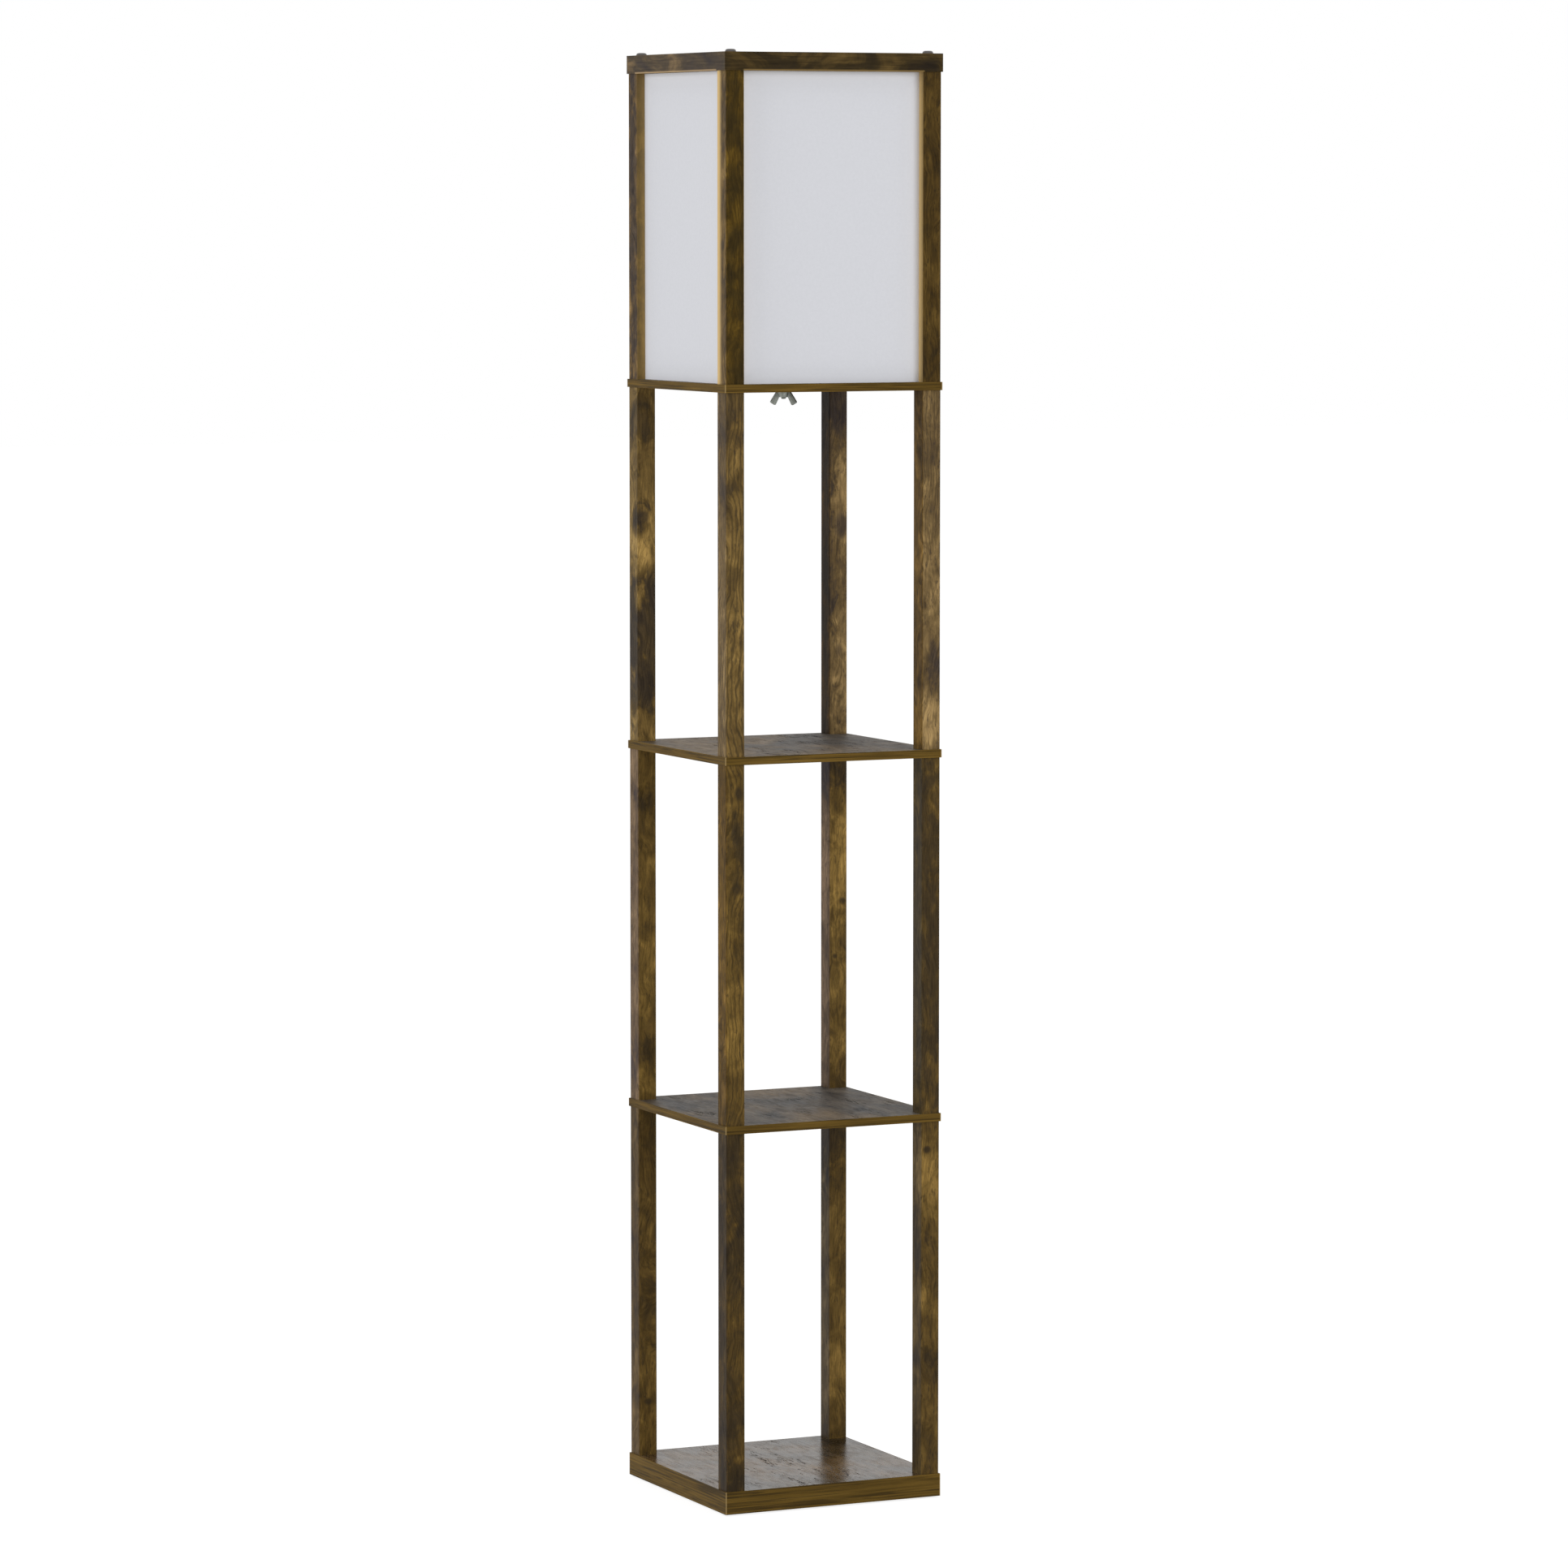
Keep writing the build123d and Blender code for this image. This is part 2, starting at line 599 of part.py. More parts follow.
def save_holder_and_bulb():
    pieces = {
        "holder_cap": [holder_cap()],
        "terminal_block": [terminal_block()],
        "terminal_screws": terminal_screws(),
        "holder_skirt": [holder_skirt()],
        "screw_sleeve": [screw_sleeve()],
        "contact_tongue": [contact_tongue()],
        "stirrup_side_screws": side_screws(),
        "bulb_contact": [bulb_contact()],
        "bulb_insulator": [bulb_insulator()],
        "bulb_screw_base": [bulb_screw_base()],
        "bulb_housing": [bulb_housing()],
        "bulb_dome": [bulb_dome()],
    }
    for name, shapes in pieces.items():
        save(name, *[Pos(0, 0, holder_bottom) * shape for shape in shapes])
    save("holder_stirrup", stirrup())
    save("holder_screw", holder_screw())
    save("wing_nut_washer", wing_washer())
    save("wing_nut", wing_nut())


os.makedirs("parts", exist_ok=True)
save_boards()
save_tiers()
save_light_box()
save_fasteners()
save_holder_and_bulb()
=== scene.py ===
import json
from math import asin, cos, degrees, pi, radians, sin, sqrt

import bmesh
import bpy
from mathutils import Matrix, Vector


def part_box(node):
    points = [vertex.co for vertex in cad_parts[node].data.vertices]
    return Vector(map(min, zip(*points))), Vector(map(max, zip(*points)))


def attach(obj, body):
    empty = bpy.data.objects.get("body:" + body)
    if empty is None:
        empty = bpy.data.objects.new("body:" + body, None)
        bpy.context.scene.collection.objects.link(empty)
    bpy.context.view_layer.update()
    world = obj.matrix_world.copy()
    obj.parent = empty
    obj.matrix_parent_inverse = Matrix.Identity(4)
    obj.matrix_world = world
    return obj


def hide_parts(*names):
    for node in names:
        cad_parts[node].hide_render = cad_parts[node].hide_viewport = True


# Looks of the shelf floor lamp: foil-covered wood, white shade panels, zinc-plated fasteners, bulb and
# holder. Metres and +Z up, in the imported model's frame. Sizes of small pieces are in millimetres.

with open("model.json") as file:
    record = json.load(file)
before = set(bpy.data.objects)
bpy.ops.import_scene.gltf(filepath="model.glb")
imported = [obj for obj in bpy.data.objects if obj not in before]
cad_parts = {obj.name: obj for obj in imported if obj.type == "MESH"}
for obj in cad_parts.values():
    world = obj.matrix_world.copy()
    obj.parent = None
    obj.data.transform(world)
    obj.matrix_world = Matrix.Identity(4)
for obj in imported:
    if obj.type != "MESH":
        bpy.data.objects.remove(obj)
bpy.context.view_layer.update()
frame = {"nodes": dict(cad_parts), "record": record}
nodes = frame["nodes"]
MM = 0.001
WING_ANGLE = -48.0  # degrees, the direction of the nut's wings

# Camera, from a fit to the photograph's corners
CAMERA_PLACE = (-3.1361, -6.7030, 1.4420)
CAMERA_YAW = 25.077  # degrees from +Y towards +X
CAMERA_PITCH = 5.027  # degrees down
CAMERA_LENS = 153.47  # on a 36 mm sensor

# Light
WORLD_LEVEL = 0.68  # on the object; the background that the camera sees is white
FLOOR_GREY = 0.75  # of the floor that sends light back to the object
FLOOR_GLOW = 0.84  # of the floor as it is seen, which is white together with its tone
FLOOR_TONE = 0.30  # of the floor as it is seen, the part that shows the shadow
LIGHT_SIDE = 2.5  # both area lights are square
LIGHT_TARGET = (0.0, 0.0, 0.8)  # the object's middle

# The warm band is painted light: the glow of the lit shade painted on the posts beside it.
PAINTED_GLOW_WIDTH = 0.0095  # of the warm band on the light box's posts beside the shade
RING_PERIOD = 0.0038  # between the growth rings in the posts' foil

# Specular levels and roughness of the foils; the base's top is the glossiest
POST_GLOSS = 0.055
RAIL_GLOSS = 0.06
BASE_GLOSS, BASE_ROUGHNESS = 0.14, 0.18
SHELF_GLOSS, SHELF_ROUGHNESS = 0.085, 0.45

# Colours, linear
DARK_BROWN = (0.034, 0.025, 0.018)
UMBER = (0.058, 0.040, 0.021)
RING_BROWN = (0.045, 0.031, 0.015)
BROWN = (0.105, 0.067, 0.024)
MID_BROWN = (0.170, 0.110, 0.038)
GOLD_BROWN = (0.320, 0.208, 0.072)
PAINTED_GLOW_TAN = (0.720, 0.500, 0.215)
CUT_END_HIGHLIGHT = (0.380, 0.265, 0.115)
SHADE_WHITE = (0.660, 0.668, 0.705)

# Button heads and shanks of the screws, in millimetres
HEAD_RADIUS, SHANK_RADIUS = 6.0, 3.0
SOCKET_APOTHEM, SOCKET_DEPTH = 2.0, 1.9

# Planes of the model that the looks follow
post_low, post_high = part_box("light_box_post_front_left")
post_out = -post_low.x  # the posts' outer faces
post_in = -post_high.x  # their inner faces
post_middle = (post_out + post_in) / 2
shade_out = -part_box("shade_panel_front")[0].y
rail_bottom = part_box("top_rail_front")[0].z
rail_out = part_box("top_rail_left")[0].x
floor_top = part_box("light_box_floor")[1].z
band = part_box("base_board")[1].x  # where the edge bands start


class Graph:
    """A material and its node tree. Its calls add nodes and give back their output sockets."""

    def __init__(self, name):
        self.material = bpy.data.materials.new(name)
        self.material.use_nodes = True
        self.tree = self.material.node_tree
        self.tree.nodes.clear()
        self.output = self.node("ShaderNodeOutputMaterial")
        self.place = self.node("ShaderNodeTexCoord").outputs["Object"]

    def put(self, socket, value):
        if isinstance(value, bpy.types.NodeSocket):
            self.tree.links.new(value, socket)
        elif isinstance(value, tuple) and len(value) == 3 and socket.type == "RGBA":
            socket.default_value = (*value, 1.0)
        else:
            socket.default_value = value

    def node(self, kind, inputs=None, **settings):
        new = self.tree.nodes.new(kind)
        for name, value in settings.items():
            setattr(new, name, value)
        for name, value in (inputs or {}).items():
            self.put(new.inputs[name], value)
        return new

    def math(self, operation, a, b=0.0):
        return self.node("ShaderNodeMath", {0: a, 1: b}, operation=operation).outputs[0]

    def plus(self, a, b):
        return self.math("ADD", a, b)

    def minus(self, a, b):
        return self.math("SUBTRACT", a, b)

    def times(self, a, b):
        return self.math("MULTIPLY", a, b)

    def larger(self, a, b):
        return self.math("MAXIMUM", a, b)

    def smaller(self, a, b):
        return self.math("MINIMUM", a, b)

    def distance(self, value):
        return self.math("ABSOLUTE", value)

    def swing(self, value, amount):
        """Noise, which runs from 0 to 1, as a swing about zero."""
        return self.times(self.minus(value, 0.5), amount)

    def stretched(self, scale, shift=(0, 0, 0), turn=0.0):
        """The object's own coordinates, scaled, turned about Z and shifted."""
        values = {"Vector": self.place, "Scale": scale, "Location": shift, "Rotation": (0, 0, turn)}
        return self.node("ShaderNodeMapping", values).outputs[0]

    def noise(self, scale, shift=(0, 0, 0), detail=3.0, roughness=0.55, distortion=0.0):
        """Noise whose three scales are in features per metre along X, Y and Z."""
        values = {"Vector": self.stretched(scale, shift), "Scale": 1.0, "Detail": detail}
        values |= {"Roughness": roughness, "Distortion": distortion}
        return self.node("ShaderNodeTexNoise", values).outputs[0]

    def step(self, value, low, high, start=0.0, end=1.0):
        """A smooth step from start at low to end at high."""
        values = {0: value, 1: low, 2: high, 3: start, 4: end}
        return self.node("ShaderNodeMapRange", values, interpolation_type="SMOOTHSTEP").outputs[0]

    def ramp(self, value, *stops):
        new = self.node("ShaderNodeValToRGB", {0: value})
        elements = new.color_ramp.elements
        while len(elements) < len(stops):
            elements.new(0.5)
        for element, (position, colour) in zip(elements, stops):
            element.position = position
            element.color = (*colour, 1.0)
        return new.outputs[0]

    def mix(self, amount, a, b, blend="MIX"):
        new = self.node("ShaderNodeMix", data_type="RGBA", blend_type=blend)
        for index, value in ((0, amount), (6, a), (7, b)):
            self.put(new.inputs[index], value)
        return new.outputs[2]

    def tinted(self, colour, tint):
        return self.mix(1.0, colour, tint, "MULTIPLY")

    def graded(self, colour, value, *stops):
        """A colour times a grey that depends on a value. Each stop is a value and the grey there."""
        return self.tinted(colour, self.ramp(value, *((at, (grey,) * 3) for at, grey in stops)))

    def axis(self, index):
        return self.node("ShaderNodeSeparateXYZ", {0: self.place}).outputs[index]

    def bump(self, height, depth):
        values = {"Height": height, "Strength": 1.0, "Distance": depth}
        return self.node("ShaderNodeBump", values).outputs[0]

    def finish(self, **inputs):
        """Adds a Principled shader, whose inputs are named with underscores, and gives the material."""
        named = {name.replace("_", " "): value for name, value in inputs.items()}
        shader = self.node("ShaderNodeBsdfPrincipled", named)
        self.tree.links.new(shader.outputs[0], self.output.inputs[0])
        return self.material


# Materials


def foil_colour(graph, cloud_scale, grain_scale, shift, tones):
    """Brown foil: cloudy blotches whose depth changes slowly, under streaks of grain in one direction."""
    cloud = graph.noise(cloud_scale, shift, detail=5.0, roughness=0.62, distortion=0.9)
    slow = graph.noise(tuple(s / 6 for s in cloud_scale), shift, detail=1.0)
    colour = graph.ramp(graph.plus(cloud, graph.swing(slow, 0.55)), *tones)
    streak = graph.noise(grain_scale, shift, detail=3.0, roughness=0.6)
    return graph.graded(colour, streak, (0.30, 0.62), (0.68, 1.28)), streak


def along_side(graph):
    """How far a place on one of the four sides is from the side's middle line."""
    return graph.smaller(graph.distance(graph.axis(0)), graph.distance(graph.axis(1)))


def ring_phase(graph):
    """The count of growth rings across a post, which waver along it and close into long loops."""
    shift = (0.3, 0.9, 0.2)
    turned = graph.stretched((1.0, 1.0, 1.0), turn=radians(38))
    across = graph.node("ShaderNodeSeparateXYZ", {0: turned}).outputs[0]
    loops = graph.noise((24, 24, 8), shift, detail=1.0)
    waver = graph.noise((60, 60, 42), shift, detail=2.0)
    phase = graph.plus(graph.times(across, 1 / RING_PERIOD), graph.times(loops, 9.0))
    return graph.plus(phase, graph.times(waver, 1.6))


def knots(graph):
    """A few dark spots with a soft rim."""
    size = 0.12
    cells = graph.node("ShaderNodeTexVoronoi", {"Vector": graph.stretched((17, 17, 9)), "Scale": 1.0})
    return graph.step(cells.outputs["Distance"], size, size * 0.4)


def painted_glow(graph):
    """How far a place is painted brown-gold beside the shade: a painted glow of the lit shade's warm light.

    These are the inner faces of the light box's posts, and a band on the sides of the front ones.
    """
    x, y = graph.axis(0), graph.axis(1)
    far_x, far_y = graph.distance(x), graph.distance(y)
    inner_x = graph.step(far_x, post_in + 0.0006, post_in)
    inner_x = graph.times(inner_x, graph.step(far_y, shade_out, post_out, 1.0, 0.40))
    inner_y = graph.step(far_y, post_in + 0.0006, post_in)
    inner_y = graph.times(inner_y, graph.step(far_x, post_in, post_out, 0.75, 0.20))
    front = graph.step(y, 0.001, -0.001)
    side = graph.step(far_y, post_in + 1.35 * PAINTED_GLOW_WIDTH, post_in + 0.35 * PAINTED_GLOW_WIDTH)
    return graph.larger(inner_x, graph.larger(inner_y, graph.times(side, front)))


def patches(graph, places, edge_noise):
    """The largest of several soft spots.

    Each is (x, y, z, half width, half height, strength), in millimetres. It begins at 1.4 times its half
    sizes and is full at 0.5 times.
    """
    total = 0.0
    for x, y, z, across, up, strength in places:
        scale = (1 / (across * MM), 1 / (across * MM), 1 / (up * MM))
        centre = tuple(-c * MM * k for c, k in zip((x, y, z), scale))
        offset = graph.stretched(scale, centre)
        length = graph.node("ShaderNodeVectorMath", {0: offset}, operation="LENGTH").outputs["Value"]
        spot = graph.step(graph.plus(length, edge_noise), 1.4, 0.5, 0.0, strength)
        total = graph.larger(total, spot)
    return total


POST_TONES = (
    (0.18, DARK_BROWN),
    (0.34, UMBER),
    (0.48, BROWN),
    (0.60, MID_BROWN),
    (0.78, GOLD_BROWN),
)


def post_level(graph, dark, gold):
    """How light the posts' foil is: clouds on a slow drift, with the dark and the gold spots."""
    shift = (3.1, 1.7, 0.4)
    cloud = graph.noise((55, 55, 30), shift, detail=7.0, roughness=0.60, distortion=0.6)
    slow = graph.noise((7, 7, 3.2), shift, detail=1.0)
    ragged = graph.noise((70, 70, 38), (5.0, 1.0, 2.0), detail=7.0, roughness=0.66, distortion=0.6)
    edge_noise = graph.swing(ragged, 3.6)
    level = graph.plus(graph.plus(graph.times(cloud, 0.78), 0.105), graph.swing(slow, 0.35))
    level = graph.minus(level, graph.times(patches(graph, dark, edge_noise), 0.33))
    return graph.plus(level, graph.times(patches(graph, gold, edge_noise), 0.20))


def grain_and_rings(graph):
    """Streaks that follow the growth rings, and the thin rings, which show only here and there.

    The rings are strongest on the front left post.
    """
    phase = ring_phase(graph)
    place = {0: graph.times(phase, 2.6), 2: graph.times(graph.axis(2), 34.0)}
    fibre = graph.node("ShaderNodeCombineXYZ", place).outputs[0]
    values = {"Vector": fibre, "Scale": 1.0, "Detail": 4.0, "Roughness": 0.65}
    streak = graph.node("ShaderNodeTexNoise", values).outputs[0]
    where = graph.noise((12, 12, 5.0), (7.0, 2.0, 5.0), detail=3.0)
    where = graph.step(where, 0.40, 0.62, 0.10, 0.60)
    front_left = graph.step(graph.plus(graph.axis(0), graph.axis(1)), -post_in, -2 * post_in)
    where = graph.larger(where, graph.times(front_left, 0.9))
    rings = graph.step(graph.math("SINE", graph.times(phase, 2 * pi)), 0.25, 0.90)
    return streak, graph.times(rings, where)


def tint_posts(graph, colour, tints, painted_left_face_tints):
    """Tints the left and the right posts, then paints reflection and shade on the four posts' left faces.
    """
    to_right = graph.step(graph.axis(0), -post_in, post_in)
    colour = graph.tinted(colour, graph.mix(to_right, *tints))
    # Painted reflection and shade on each post's left face.
    normal = graph.node("ShaderNodeNewGeometry").outputs["True Normal"]
    faces_left = graph.step(graph.node("ShaderNodeSeparateXYZ", {0: normal}).outputs[0], -0.4, -0.7)
    to_back = graph.step(graph.axis(1), -post_in, post_in)
    front, back = graph.mix(to_right, *painted_left_face_tints[:2]), graph.mix(to_right, *painted_left_face_tints[2:])
    return graph.mix(faces_left, colour, graph.tinted(colour, graph.mix(to_back, front, back)))


def post_foil(name, tints, painted_left_face_tints, ring_strength, dark, gold, knot_places=(), with_painted_glow=False):
    """Foil of one tier's posts: cloudy brown with growth rings and pores, and the posts' own large spots.

    The tints are those of the left and the right posts. The painted left face tints, painted reflection and
    shade, are those of the left faces of the front left, front right, back left and back right post.
    """
    graph = Graph(name)
    colour = graph.ramp(post_level(graph, dark, gold), *POST_TONES)
    streak, rings = grain_and_rings(graph)
    colour = graph.graded(colour, streak, (0.32, 0.56), (0.68, 1.40))
    colour = graph.mix(graph.times(rings, ring_strength), colour, RING_BROWN)
    pores = graph.step(graph.noise((420, 420, 110), (1.0, 4.0, 2.0), detail=3.0), 0.59, 0.68)
    colour = graph.mix(graph.times(pores, 0.55), colour, DARK_BROWN)
    spots = graph.larger(knots(graph), patches(graph, knot_places, 0.0))
    colour = graph.mix(graph.times(spots, 0.80), colour, DARK_BROWN)
    colour = tint_posts(graph, colour, tints, painted_left_face_tints)
    # Painted glow: the shade's warm light, painted on the posts beside it.
    if with_painted_glow:
        colour = graph.mix(graph.times(painted_glow(graph), 0.85), colour, PAINTED_GLOW_TAN)
    rough = graph.step(streak, 0.3, 0.7, 0.55, 0.45)
    normal = graph.bump(graph.minus(streak, graph.plus(rings, pores)), 0.00006)
    return graph.finish(Base_Color=colour, Roughness=rough, Specular_IOR_Level=POST_GLOSS, Normal=normal)


# The spots of each tier, as patches() takes them, lie about the posts' middle lines or on a front face.
mid = post_middle / MM
outer = post_out / MM


def lower_post_foil():
    """Posts between the base and the lower shelf."""
    return post_foil(
        "lower_post_foil",
        tints=((0.86, 0.80, 0.58), (0.86, 0.81, 0.62)),
        painted_left_face_tints=((0.92, 0.95, 1.25), (0.86, 0.94, 1.35), (0.90, 0.96, 1.60), (0.72, 0.84, 1.65)),
        ring_strength=0.35,
        dark=[
            (-mid, mid, 220, 28, 70, 0.4),
            (-mid, -mid, 225, 36, 330, 0.38),
            (-mid, -mid, 310, 30, 70, 0.50),
            (-mid, -mid, 75, 28, 46, 0.56),
            (-mid, -mid, 46, 30, 24, 0.80),
            (mid - 8, -mid, 290, 12, 50, 0.5),
            (mid, -mid, 155, 16, 14, 0.5),
            (mid, mid, 385, 34, 60, 0.6),
        ],
        gold=[
            (mid, -mid, 360, 24, 50, 0.7),
            (mid, -mid, 225, 22, 26, 0.5),
            (-mid, mid, 60, 20, 30, 0.3),
            (mid, mid, 90, 20, 30, 0.4),
            (-mid, -outer, 322, 5, 4, 0.9),
            (-mid + 3, -outer, 62, 5, 5, 0.9),
        ],
        knot_places=[
            (-mid, mid - 10, 88, 5, 4, 1.0),
            (mid - 4, -outer, 391, 5, 4, 1.0),
            (mid - 4, -outer, 295, 3, 8, 0.7),
        ],
    )


def middle_post_foil():
    """Posts between the two shelves."""
    return post_foil(
        "middle_post_foil",
        tints=((0.98, 0.92, 0.66), (0.96, 0.91, 0.70)),
        painted_left_face_tints=((0.83, 0.76, 0.55), (1.10, 1.20, 1.40), (1.14, 1.24, 2.80), (0.78, 0.84, 1.90)),
        ring_strength=0.55,
        dark=[
            (-mid, mid, 475, 26, 26, 0.4),
            (-mid, mid - 8, 768, 12, 14, 0.5),
            (-mid + 4, -mid - 8, 725, 14, 40, 0.6),
            (-mid + 4, -mid - 8, 640, 12, 40, 0.35),
            (mid, -mid, 640, 36, 240, 0.55),
            (mid, mid, 800, 34, 36, 0.8),
            (mid, mid - 8, 590, 12, 30, 0.2),
        ],
        gold=[
            (-mid - 8, -mid, 640, 10, 150, 0.5),
            (-mid, -mid, 530, 22, 40, 0.5),
            (mid, mid, 680, 26, 80, 1.0),
            (-mid, mid, 600, 24, 60, 0.3),
            (mid, -mid, 470, 20, 24, 0.3),
            (mid, mid, 530, 26, 70, 0.6),
        ],
        knot_places=[
            (-mid + 4, -outer, 795, 5, 7, 1.0),
            (mid, -outer, 800, 6, 7, 0.9),
            (mid + 6, mid - 10, 645, 4, 4, 1.0),
            (mid - 4, mid - 10, 582, 3, 3, 1.0),
            (-mid + 4, -outer, 690, 6, 6, 0.7),
        ],
    )


def upper_post_foil():
    """Posts between the upper shelf and the light box."""
    return post_foil(
        "upper_post_foil",
        tints=((1.15, 1.12, 0.98), (1.15, 1.17, 1.38)),
        painted_left_face_tints=((1.03, 1.09, 1.54), (0.66, 0.57, 0.33), (0.97, 1.00, 1.10), (0.35, 0.28, 0.15)),
        ring_strength=0.70,
        dark=[
            (-mid, mid, 952, 34, 84, 1.0),
            (-mid - 6, mid - 8, 1190, 14, 30, 0.5),
            (-mid - 9, mid - 9, 1082, 11, 20, 0.9),
            (-mid, -mid, 1185, 16, 14, 0.4),
            (-mid, -mid, 1130, 16, 16, 0.3),
            (mid, mid, 1212, 40, 40, 0.8),
            (mid - 12, mid, 1010, 11, 280, 1.0),
            (mid, -mid - 6, 1160, 16, 14, 0.2),
            (mid + 8, -mid - 8, 930, 12, 34, 0.55),
        ],
        gold=[
            (-mid, mid, 1048, 22, 24, 1.0),
            (-mid, mid, 850, 20, 24, 0.7),
            (mid, mid, 1100, 30, 70, 1.0),
            (-mid, -mid, 930, 26, 60, 0.4),
            (mid, -mid, 865, 26, 30, 1.0),
            (mid, -mid, 1080, 26, 100, 0.6),
            (mid, mid, 930, 26, 90, 0.8),
        ],
        knot_places=[
            (mid + 4, mid - 10, 1072, 9, 15, 1.0),
            (-mid - 2, mid - 10, 1086, 5, 7, 0.9),
        ],
    )


def light_box_post_foil():
    """Grooved posts round the light box, with the shade's warm glow painted on them beside it."""
    return post_foil(
        "light_box_post_foil",
        tints=((0.76, 0.69, 0.30), (0.58, 0.53, 0.36)),
        painted_left_face_tints=((1.80, 1.98, 4.90), (1.00, 1.00, 1.00), (1.70, 1.80, 4.40), (1.00, 1.00, 1.00)),
        ring_strength=0.35,
        dark=[
            (-mid, -mid, 1535, 30, 44, 0.5),
            (-mid, -mid, 1388, 14, 8, 0.5),
            (-mid, -mid, 1330, 20, 30, 0.25),
            (mid, -mid, 1260, 24, 30, 0.3),
            (-mid - 10, mid, 1410, 10, 210, 1.0),
            (-mid + 3, -outer, 1410, 13, 260, 0.45),
        ],
        gold=[
            (-mid, -outer, 1275, 8, 24, 0.6),
            (-mid, -outer, 1302, 6, 8, 0.6),
            (-mid, -outer, 1348, 5, 7, 0.6),
            (-mid, -outer, 1368, 6, 8, 0.5),
            (-mid, -outer, 1425, 7, 14, 0.5),
            (-mid, -outer, 1482, 6, 12, 0.5),
        ],
        with_painted_glow=True,
    )


def rail_foil():
    """Darker rail foil; painted glow of the shade on the lower edge, painted grey reflection on the left
    face.
    """
    graph = Graph("rail_foil")
    tones = (
        (0.34, (0.020, 0.014, 0.008)),
        (0.50, (0.036, 0.024, 0.009)),
        (0.64, (0.088, 0.055, 0.017)),
        (0.84, MID_BROWN),
    )
    colour, streak = foil_colour(graph, (13, 13, 30), (22, 22, 500), (0.7, 5.2, 2.2), tones)
    # Painted glow: the shade's warm light painted gold on the rails' lower edge over it.
    painted_glow_edge = graph.step(graph.axis(2), rail_bottom + 0.0022, rail_bottom)
    over_shade = graph.step(along_side(graph), post_in + 0.002, post_in)
    colour = graph.mix(graph.times(graph.times(painted_glow_edge, over_shade), 0.7), colour, GOLD_BROWN)
    # Painted reflection: the left face is made lighter and greyer.
    left = graph.step(graph.axis(0), rail_out + 0.0004, rail_out + 0.0001)
    colour = graph.mix(left, colour, graph.tinted(colour, (1.90, 2.00, 3.00)))
    normal = graph.bump(streak, 0.00008)
    return graph.finish(Base_Color=colour, Roughness=0.46, Specular_IOR_Level=RAIL_GLOSS, Normal=normal)


def edge_foil():
    """Edge band with long fine dark lines along it, and a painted highlight on its cut end at the corners.
    """
    graph = Graph("edge_foil")
    tones = ((0.30, (0.070, 0.041, 0.008)), (0.50, (0.120, 0.070, 0.013)), (0.75, (0.170, 0.101, 0.020)))
    colour, streak = foil_colour(graph, (6, 6, 160), (9, 9, 620), (4.0, 0.3, 1.1), tones)
    lines = graph.step(graph.noise((5, 5, 400), (2.0, 8.0, 0.5), detail=4.0, distortion=0.5), 0.51, 0.58)
    breaks = graph.step(graph.noise((16, 16, 120), (5.0, 2.0, 0.5), detail=2.0), 0.36, 0.52, 0.35, 1.0)
    lines = graph.times(lines, breaks)
    colour = graph.mix(graph.times(lines, 0.72), colour, (0.030, 0.019, 0.006))
    far_x, far_y = graph.distance(graph.axis(0)), graph.distance(graph.axis(1))
    end_x = graph.step(far_x, band - 0.0001, band)
    end_y = graph.step(far_y, band + 0.0004, band + 0.0008)
    # Painted highlight: the band's cut end at the corners is pale.
    colour = graph.mix(graph.times(graph.times(end_x, end_y), 0.7), colour, CUT_END_HIGHLIGHT)
    normal = graph.bump(graph.minus(streak, lines), 0.0001)
    return graph.finish(Base_Color=colour, Roughness=0.52, Specular_IOR_Level=POST_GLOSS, Normal=normal)


def cracks(graph):
    """Clusters of fine cracks, drawn as thin broken contour lines of noise."""
    clusters = graph.step(graph.noise((13, 8, 9), (1.5, 3.5, 0.0), detail=2.0), 0.46, 0.60)
    contours = graph.noise((95, 15, 30), (9.0, 1.0, 4.0), detail=6.0, roughness=0.66, distortion=0.8)
    contours = graph.step(graph.distance(graph.minus(contours, 0.5)), 0.024, 0.008)
    breaks = graph.step(graph.noise((70, 26, 20), (2.0, 6.0, 1.0), detail=4.0), 0.48, 0.56)
    return graph.times(graph.times(clusters, contours), breaks)


